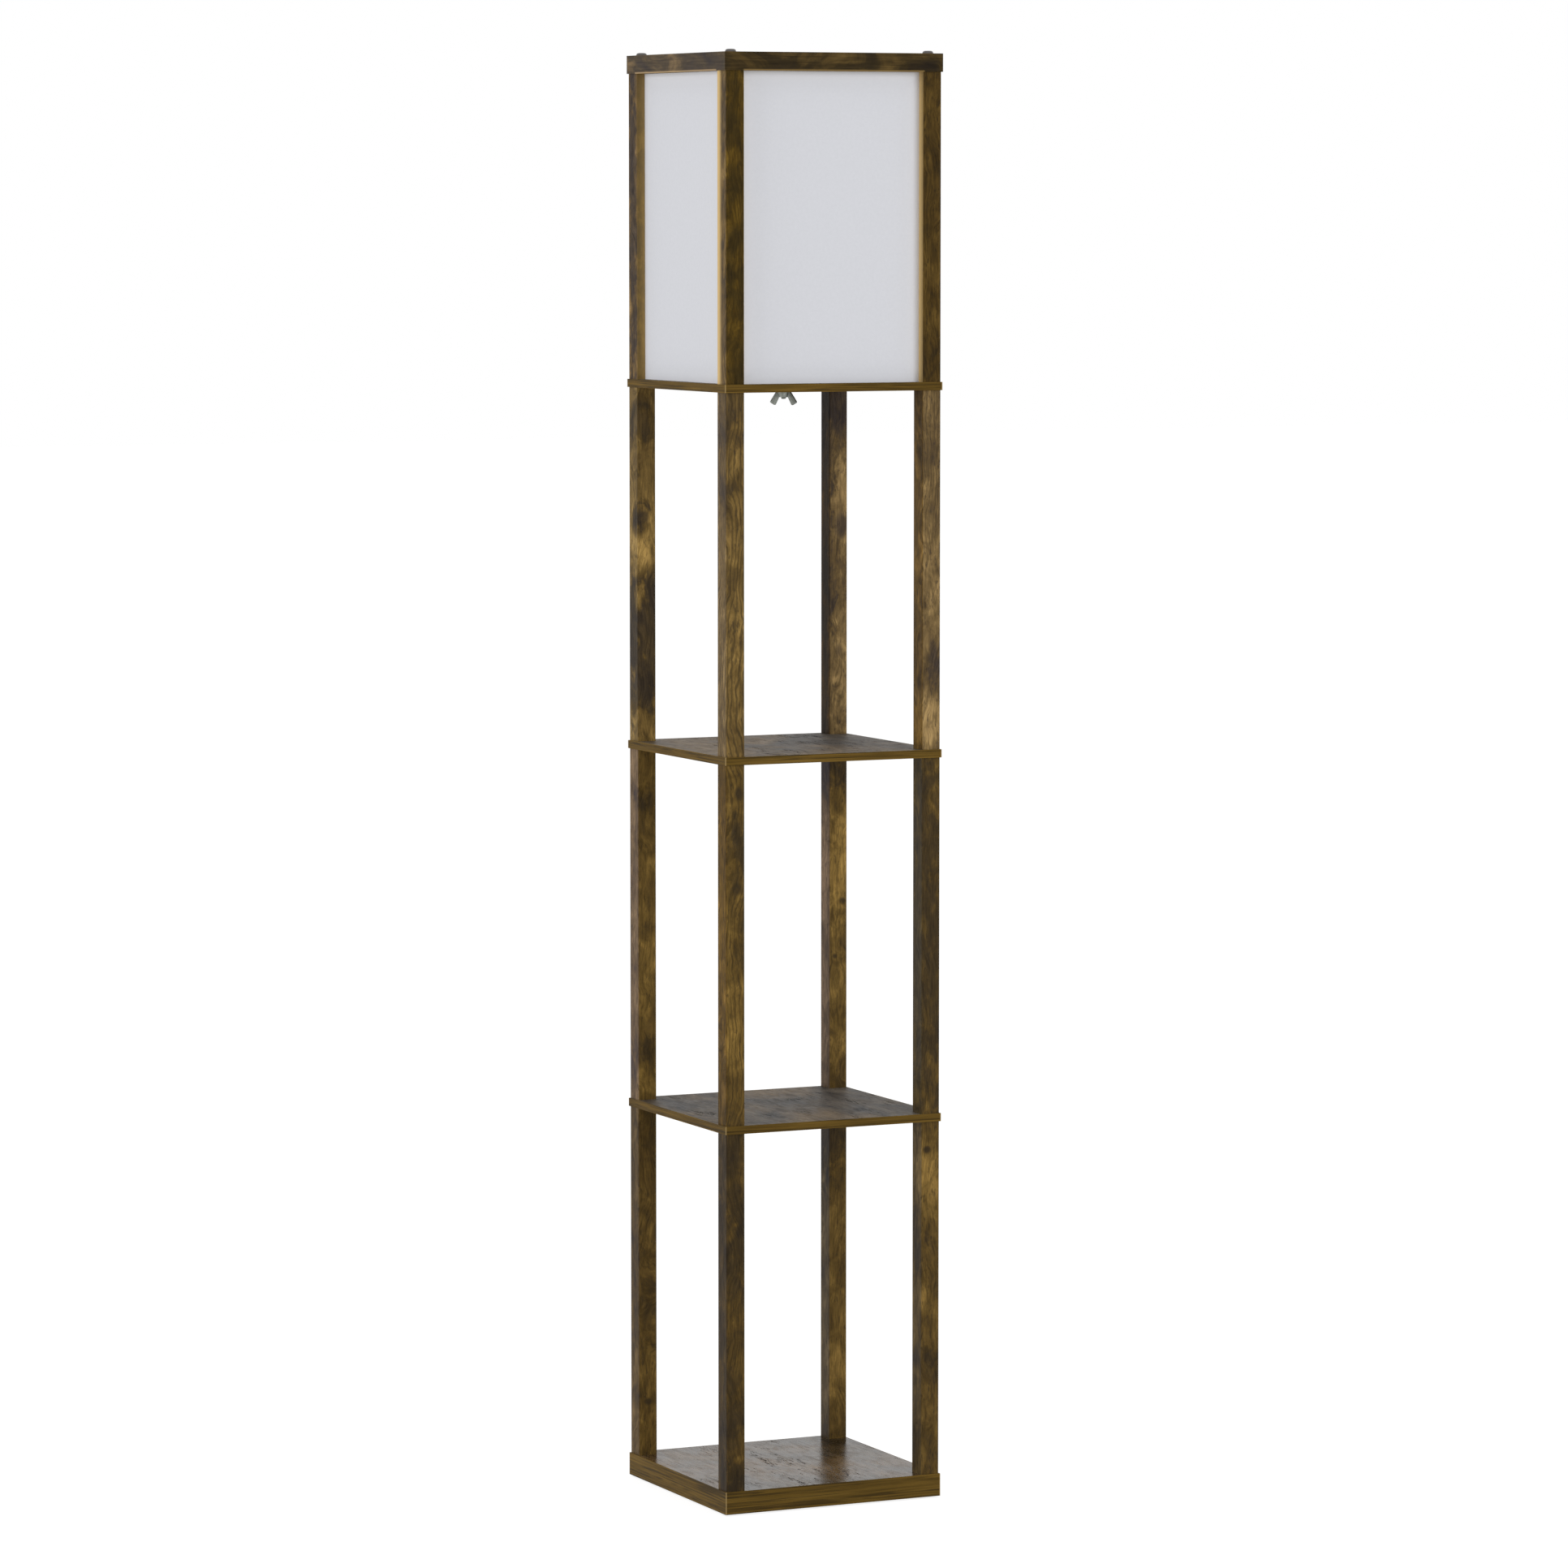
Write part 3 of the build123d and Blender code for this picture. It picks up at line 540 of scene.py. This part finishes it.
def board_foil(name, tint, roughness, gloss, shift):
    """Worn grey-brown foil: warm and cool areas, grain along Y, and clusters of fine dark cracks."""
    graph = Graph(name)
    warm = graph.step(graph.noise((8, 6, 9), shift, detail=3.0, distortion=0.5), 0.40, 0.60)
    cloud = graph.noise((26, 13, 20), shift, detail=7.0, roughness=0.64, distortion=0.8)
    cool_tones = (0.32, (0.022, 0.021, 0.022)), (0.48, (0.066, 0.058, 0.052)), (0.68, (0.130, 0.112, 0.094))
    warm_tones = (0.32, (0.050, 0.036, 0.024)), (0.48, (0.118, 0.088, 0.058)), (0.68, (0.210, 0.162, 0.110))
    colour = graph.mix(warm, graph.ramp(cloud, *cool_tones), graph.ramp(cloud, *warm_tones))
    streak = graph.noise((360, 26, 30), shift, detail=4.0, roughness=0.62, distortion=0.3)
    colour = graph.graded(colour, streak, (0.32, 0.78), (0.68, 1.18))
    speckle = graph.noise((520, 170, 30), detail=3.0)
    colour = graph.graded(colour, speckle, (0.34, 0.84), (0.66, 1.14))
    colour = graph.tinted(colour, tint)
    worn = cracks(graph)
    colour = graph.mix(graph.times(worn, 0.85), colour, (0.014, 0.013, 0.014))
    rough = graph.step(streak, 0.3, 0.7, roughness + 0.04, roughness - 0.02)
    rough = graph.plus(rough, graph.times(graph.step(cloud, 0.40, 0.62), 0.05))
    dull = graph.noise((110, 42, 30), (3.0, 9.0, 2.0), detail=5.0, roughness=0.66, distortion=0.6)
    rough = graph.plus(rough, graph.step(dull, 0.38, 0.68, 0.0, 0.10))
    rough = graph.plus(rough, graph.times(worn, 0.50))
    normal = graph.bump(graph.minus(streak, worn), 0.00008)
    return graph.finish(Base_Color=colour, Roughness=rough, Specular_IOR_Level=gloss, Normal=normal)


def shade_sheet():
    """Stiff white sheet with a faint mottle.

    It is painted lighter towards the frame, against the frame's soft shadow on it, so that it looks even
    between the rails.
    """
    graph = Graph("shade_sheet")
    fibres = graph.noise((300, 300, 300), detail=4.0)
    light = tuple(c * 1.01 for c in SHADE_WHITE)
    shade = tuple(c * 0.985 for c in SHADE_WHITE)
    colour = graph.ramp(fibres, (0.35, shade), (0.65, light))
    # Painted light: the sheet is lighter by the rails, the floor and the posts, against their shadow.
    painted_fill_top = graph.step(graph.axis(2), rail_bottom - 0.017, rail_bottom + 0.003, 0.0, 1.0)
    painted_fill_floor = graph.step(graph.axis(2), floor_top + 0.016, floor_top - 0.004, 0.0, 0.8)
    painted_fill_post = graph.step(along_side(graph), post_in - 0.022, post_in + 0.004, 0.0, 0.4)
    painted_fill = graph.larger(painted_fill_top, graph.larger(painted_fill_floor, painted_fill_post))
    colour = graph.mix(painted_fill, colour, tuple(c * 1.18 for c in SHADE_WHITE))
    normal = graph.bump(fibres, 0.00002)
    return graph.finish(Base_Color=colour, Roughness=0.62, Specular_IOR_Level=0.15, Normal=normal)


def metal(name, tone, roughness):
    """Metal with a fine grain in its colour, roughness and surface."""
    graph = Graph(name)
    grain = graph.noise((400, 400, 400), detail=3.0)
    colour = graph.ramp(grain, (0.3, tuple(c * 0.80 for c in tone)), (0.7, tone))
    rough = graph.step(grain, 0.3, 0.7, roughness + 0.10, roughness - 0.05)
    normal = graph.bump(grain, 0.00002)
    return graph.finish(Base_Color=colour, Metallic=1.0, Roughness=rough, Normal=normal)


def moulded(name, tone, roughness, texture_depth=0.00002, **extra):
    """Plastic, rubber, foam or porcelain with a fine surface texture."""
    graph = Graph(name)
    texture = graph.noise((900, 900, 900), detail=2.0)
    colour = graph.ramp(texture, (0.3, tuple(c * 0.9 for c in tone)), (0.7, tone))
    normal = graph.bump(texture, texture_depth)
    return graph.finish(Base_Color=colour, Roughness=roughness, Normal=normal, **extra)


base_look = (0.73, 0.56, 0.33), BASE_ROUGHNESS, BASE_GLOSS, (6.0, 2.5, 8.0)
shelf_look = (1.0, 0.96, 0.87), SHELF_ROUGHNESS, SHELF_GLOSS, (2.0, 7.5, 3.0)
materials = {
    "rail_foil": rail_foil(),
    "edge_foil": edge_foil(),
    "board_foil": board_foil("board_foil", *base_look),
    "shelf_foil": board_foil("shelf_foil", *shelf_look),
    "shade_sheet": shade_sheet(),
    "eva_foam": moulded("eva_foam", (0.035, 0.035, 0.035), 0.9, 0.0001),
    "rubber_black": moulded("rubber_black", (0.020, 0.020, 0.020), 0.6),
    "brass": metal("brass", (0.78, 0.58, 0.26), 0.35),
    "zinc_steel": metal("zinc_steel", (0.27, 0.285, 0.255), 0.38),
    "screw_nickel": metal("screw_nickel", (0.13, 0.12, 0.115), 0.20),
    "holder_plastic": moulded("holder_plastic", (0.022, 0.021, 0.020), 0.35),
    "porcelain": moulded("porcelain", (0.82, 0.80, 0.75), 0.22),
    "bulb_metal": metal("bulb_metal", (0.72, 0.72, 0.72), 0.28),
    "bulb_black": moulded("bulb_black", (0.015, 0.015, 0.015), 0.15),
    "bulb_housing_white": moulded("bulb_housing_white", (0.80, 0.80, 0.79), 0.40),
    "bulb_opal": moulded("bulb_opal", (0.86, 0.86, 0.84), 0.45, 0.00001, Subsurface_Weight=0.3),
}
tier_foils = {
    "lower": lower_post_foil(),
    "middle": middle_post_foil(),
    "upper": upper_post_foil(),
    "light": light_box_post_foil(),
}


def dress(piece, material):
    """Gives a piece one material."""
    piece.data.materials.clear()
    piece.data.materials.append(material)


def dress_nodes():
    """Gives each CAD node its material. A post's tier is the first word of its name."""
    for part in frame["record"]["subparts"]:
        name = part["node"]
        if part["material_slot"] == "post_foil":
            dress(nodes[name], tier_foils[name.split("_")[0]])
        elif part["material_slot"] == "board_foil" and name != "base_board":
            dress(nodes[name], materials["shelf_foil"])
        else:
            dress(nodes[name], materials[part["material_slot"]])


# Pieces that replace small CAD nodes with fuller forms. Their solids are built in millimetres from rows of
# points round the Z axis, and each row is a function from the angle to a radius and a height.


def circle(radius, height):
    return lambda angle: (radius, height)


def hexagon(apothem, height):
    """A row whose radius is that of a hexagon with the given distance from its middle to its sides."""
    return lambda angle: (apothem / cos((angle + pi / 6) % (pi / 3) - pi / 6), height)


def thread_row(crest, depth, pitch, height):
    """One row of a helical thread, whose groove climbs by a pitch in each turn."""
    groove_angle = 2 * pi * height / pitch
    return lambda angle: (crest - depth * (0.5 + 0.5 * cos(groove_angle - angle)), height)


def row_vertices(bm, row, segments):
    """The vertices of a row, or a single one where its radius is 0."""
    if row(0.0)[0] == 0:
        return [bm.verts.new((0, 0, row(0.0)[1]))]
    angles = [2 * pi * i / segments for i in range(segments)]
    return [bm.verts.new((row(a)[0] * cos(a), row(a)[0] * sin(a), row(a)[1])) for a in angles]


def solid(rows, segments=72):
    """A closed solid from a loop of rows. A row of radius 0 is one point on the axis."""
    bm = bmesh.new()
    rings = [row_vertices(bm, row, segments) for row in rows]
    for low, high in zip(rings, rings[1:] + rings[:1]):
        steps = max(len(low), len(high))
        for i in range(steps if steps > 1 else 0):
            loop = [low[(i - 1) % len(low)], low[i % len(low)]]
            loop += [high[i % len(high)], high[(i - 1) % len(high)]]
            bm.faces.new(list(dict.fromkeys(loop)))
    return bm


def arc(centre_height, radius, start, end, steps):
    """Rows along an arc about a point on the axis, with its angles in degrees."""
    angles = [radians(start + (end - start) * i / steps) for i in range(steps + 1)]
    rows = [(radius * cos(a), centre_height + radius * sin(a)) for a in angles]
    return [circle(r if r > 0.001 else 0, z) for r, z in rows]


def new_piece(name, bm, slot, body, place=(0, 0, 0), turn=0.0, flip=False, replaced=(), look=None):
    """Makes an object of a solid in millimetres, moved to its place in metres.

    A flipped one is turned upside down first. The look is a material other than the slot's own.
    """
    if flip:
        bmesh.ops.rotate(bm, matrix=Matrix.Rotation(pi, 3, "X"), verts=bm.verts)
    bmesh.ops.rotate(bm, matrix=Matrix.Rotation(radians(turn), 3, "Z"), verts=bm.verts)
    bmesh.ops.scale(bm, vec=(MM, MM, MM), verts=bm.verts)
    bmesh.ops.translate(bm, vec=place, verts=bm.verts)
    bmesh.ops.recalc_face_normals(bm, faces=bm.faces)
    mesh = bpy.data.meshes.new(name)
    bm.to_mesh(mesh)
    bm.free()
    mesh.shade_smooth()
    mesh.set_sharp_from_angle(angle=radians(35))
    piece = bpy.data.objects.new(name, mesh)
    bpy.context.scene.collection.objects.link(piece)
    dress(piece, materials[look or slot])
    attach(piece, body)
    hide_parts(*replaced)
    return piece


def heights(node):
    """A node's bottom and top, in millimetres."""
    low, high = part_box(node)
    return low.z / MM, high.z / MM


def radius_of(node):
    """A round node's radius, in millimetres."""
    low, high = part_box(node)
    return (high.x - low.x) / 2 / MM


def bulb_diffuser():
    """The dome: a thin shell of a sphere that stands on the housing's rim."""
    bottom = heights("bulb_dome")[0]
    radius, wall, steps = 30.0, 1.2, 36
    centre = bottom + sqrt(radius**2 - radius_of("bulb_housing") ** 2)
    outer_start = degrees(asin((bottom - centre) / radius))
    inner_start = degrees(asin((bottom - centre) / (radius - wall)))
    shell = arc(centre, radius, outer_start, 90, steps)
    shell += arc(centre, radius - wall, 90, inner_start, steps)
    new_piece("bulb_diffuser", solid(shell), "bulb_opal", "bulb", replaced=["bulb_dome"])


def bulb_body():
    """The housing: it flares from the neck up to the rim."""
    bottom, rim = heights("bulb_housing")
    neck, rim_radius, steps = 13.8, radius_of("bulb_housing"), 18
    flare = [(0.0, bottom), (neck - 0.6, bottom), (neck, bottom + 0.6)]
    for i in range(1, steps):
        t = i / steps
        flare.append((neck + (rim_radius - 0.4 - neck) * (t**1.25), bottom + (rim - bottom) * t))
    flare += [(rim_radius - 0.2, rim - 1.0), (rim_radius - 0.3, rim), (0.0, rim)]
    body = solid([circle(r, z) for r, z in flare])
    new_piece("bulb_body", body, "bulb_housing_white", "bulb", replaced=["bulb_housing"])


def bulb_thread():
    """The screw base with its rolled thread."""
    bottom, top = heights("bulb_screw_base")
    crest, depth, pitch, row_step = radius_of("bulb_screw_base"), 0.9, 3.629, 0.4
    count = int((top - bottom - 4.0) / row_step)
    rows = [circle(0, bottom), circle(10.0, bottom), circle(crest - depth, bottom + 1.6)]
    rows += [thread_row(crest, depth, pitch, bottom + 2.0 + i * row_step) for i in range(count)]
    rows += [circle(crest, top - 1.6), circle(crest, top), circle(0, top)]
    new_piece("bulb_thread", solid(rows), "bulb_metal", "bulb", replaced=["bulb_screw_base"])


def button_rows(height):
    """Rows of a button head from the middle of its hexagon socket out to its rim, on z = 0."""
    rows = [circle(0, height - SOCKET_DEPTH), hexagon(SOCKET_APOTHEM, height - SOCKET_DEPTH)]
    rows.append(hexagon(SOCKET_APOTHEM, height))
    flat, rim, steps = SOCKET_APOTHEM * 1.45, 0.6, 8
    rows.append(circle(flat, height))
    for i in range(1, steps + 1):
        t = i / steps
        rows.append(circle(flat + (HEAD_RADIUS - flat) * t, rim + (height - rim) * sqrt(1 - t**2)))
    return rows + [circle(HEAD_RADIUS, 0.0)]


def top_screws():
    """One screw through each corner of the top frame. Its head lies on the rails."""
    shank_low, head_top = heights("top_screws")
    rail_top = heights("top_rail_front")[1]
    shank_bottom = shank_low - rail_top
    for row, sy in (("front", -1), ("back", 1)):
        for side, sx in (("left", -1), ("right", 1)):
            rows = button_rows(head_top - rail_top)
            rows += [circle(SHANK_RADIUS, 0.0), circle(SHANK_RADIUS, shank_bottom), circle(0, shank_bottom)]
            place = (sx * post_middle, sy * post_middle, rail_top * MM)
            kind = {"replaced": ["top_screws"], "look": "screw_nickel"}
            new_piece(f"top_screw_{row}_{side}", solid(rows, 48), "zinc_steel", "tower", place, **kind)


def holder_screw():
    """The head lies in the stirrup; the threaded shank ends in a chamfered tip under the wing nut."""
    bottom, top = heights("holder_screw")
    head_height = 3.0
    seat = top - head_height
    length = seat - bottom
    rows = button_rows(head_height) + [circle(SHANK_RADIUS, 0.0), circle(SHANK_RADIUS, -2.0)]
    depth, pitch, row_step = 0.55, 1.0, 0.2
    for i in range(int((length - 3.0) / row_step)):
        rows.append(thread_row(SHANK_RADIUS, depth, pitch, -2.2 - i * row_step))
    rows += [circle(2.6, -length + 0.6), circle(2.1, -length), circle(0, -length)]
    place = (0, 0, seat * MM)
    new_piece("clamp_screw", solid(rows, 36), "zinc_steel", "tower", place, replaced=["holder_screw"])


def wing(bm, side):
    """One pressed wing of the nut: a rounded plate that leans out from the hub."""
    outline = [(3.6, 1.0), (7.4, 1.0), (8.4, 1.5), (15.6, 12.4), (15.9, 13.4), (15.4, 14.2), (11.2, 16.6)]
    outline += [(10.2, 16.7), (9.5, 16.0), (5.6, 8.4), (5.0, 7.6), (3.6, 7.4)]
    half = 1.4
    front = [bm.verts.new((side * x, -half, z)) for x, z in outline]
    back = [bm.verts.new((side * x, half, z)) for x, z in outline]
    faces = [bm.faces.new(front), bm.faces.new(list(reversed(back)))]
    rims = [bm.faces.new((front[i - 1], front[i], back[i], back[i - 1])) for i in range(len(outline))]
    edges = list({edge for face in faces for edge in face.edges})
    bmesh.ops.recalc_face_normals(bm, faces=faces + rims)
    bmesh.ops.bevel(bm, geom=edges, offset=0.6, segments=3, profile=0.5, affect="EDGES")


def wing_nut():
    """A ring-shaped hub with two wings, built upright and turned over to hang from its seat."""
    seat = heights("wing_nut")[1] * MM
    rows = [circle(3.05, 0.0), circle(6.1, 0.0), circle(6.5, 0.4), circle(6.3, 2.4), circle(5.5, 7.0)]
    rows += [circle(5.2, 7.7), circle(4.7, 8.0), circle(3.4, 8.0), circle(3.05, 7.6)]
    bm = solid(rows, 64)
    wing(bm, 1)
    wing(bm, -1)
    place = (0, 0, seat)
    new_piece("butterfly_nut", bm, "zinc_steel", "wing_nut", place, WING_ANGLE, True, ["wing_nut"])


dress_nodes()
bulb_diffuser()
bulb_body()
bulb_thread()
top_screws()
holder_screw()
wing_nut()

# Stage, light and camera


def floor_material():
    """White where the camera or a reflection sees it, with the object's soft shadow kept."""
    graph = Graph("floor")
    path = graph.node("ShaderNodeLightPath").outputs
    mirrored = graph.larger(path["Is Glossy Ray"], path["Is Transmission Ray"])
    seen = graph.larger(path["Is Camera Ray"], mirrored)
    plain = graph.node("ShaderNodeBsdfDiffuse", {"Color": (FLOOR_GREY,) * 3}).outputs[0]
    soft = graph.node("ShaderNodeBsdfDiffuse", {"Color": (FLOOR_TONE,) * 3}).outputs[0]
    glow = graph.node("ShaderNodeEmission", {"Color": (1.0, 1.0, 1.0), "Strength": FLOOR_GLOW}).outputs[0]
    white = graph.node("ShaderNodeAddShader", {0: soft, 1: glow}).outputs[0]
    both = graph.node("ShaderNodeMixShader", {0: seen, 1: plain, 2: white}).outputs[0]
    graph.tree.links.new(both, graph.output.inputs[0])
    return graph.material


def make_floor():
    """A wide plain floor at the foot pads' undersides."""
    mesh = bpy.data.meshes.new("floor")
    half = 30.0
    corners = [(-half, -half, 0), (half, -half, 0), (half, half, 0), (-half, half, 0)]
    mesh.from_pydata(corners, [], [(0, 1, 2, 3)])
    floor = bpy.data.objects.new("floor", mesh)
    bpy.context.scene.collection.objects.link(floor)
    dress(floor, floor_material())


def make_world():
    """Plain light on the object, and white where the camera or a reflection sees it."""
    world = bpy.data.worlds.new("studio")
    bpy.context.scene.world = world
    world.use_nodes = True
    tree = world.node_tree
    tree.nodes.clear()
    path = tree.nodes.new("ShaderNodeLightPath").outputs
    seen = path["Is Camera Ray"]
    for other in ("Is Glossy Ray", "Is Transmission Ray"):
        either = tree.nodes.new("ShaderNodeMath")
        either.operation = "MAXIMUM"
        tree.links.new(seen, either.inputs[0])
        tree.links.new(path[other], either.inputs[1])
        seen = either.outputs[0]
    mix = tree.nodes.new("ShaderNodeMixShader")
    tree.links.new(seen, mix.inputs[0])
    for socket, level in ((1, WORLD_LEVEL), (2, 1.0)):
        background = tree.nodes.new("ShaderNodeBackground")
        background.inputs["Color"].default_value = (1.0, 1.0, 1.0, 1.0)
        background.inputs["Strength"].default_value = level
        tree.links.new(background.outputs[0], mix.inputs[socket])
    output = tree.nodes.new("ShaderNodeOutputWorld")
    tree.links.new(mix.outputs[0], output.inputs[0])


def area_light(name, place, power):
    """A soft light that is turned to the object's middle. The power is in watts."""
    lamp = bpy.data.lights.new(name, "AREA")
    lamp.shape = "RECTANGLE"
    lamp.size = lamp.size_y = LIGHT_SIDE
    lamp.energy = power
    light = bpy.data.objects.new(name, lamp)
    bpy.context.scene.collection.objects.link(light)
    light.location = place
    direction = Vector(LIGHT_TARGET) - Vector(place)
    light.rotation_euler = direction.to_track_quat("-Z", "Y").to_euler()
    light.visible_glossy = False  # gloss mirrors the white surroundings, not the lights


def make_camera():
    """The camera of the photograph, level across and pitched down."""
    data = bpy.data.cameras.new("camera")
    data.lens = CAMERA_LENS
    data.sensor_width = 36.0
    data.sensor_fit = "HORIZONTAL"
    data.clip_end = 100.0
    camera = bpy.data.objects.new("camera", data)
    bpy.context.scene.collection.objects.link(camera)
    camera.location = CAMERA_PLACE
    camera.rotation_euler = (radians(90 - CAMERA_PITCH), 0.0, radians(-CAMERA_YAW))
    bpy.context.scene.camera = camera


make_floor()
make_world()
area_light("front_light", (2.2, -4.5, 2.6), 85)
area_light("left_light", (-4.5, -0.5, 2.2), 70)
make_camera()
bpy.context.scene.view_settings.view_transform = "Standard"
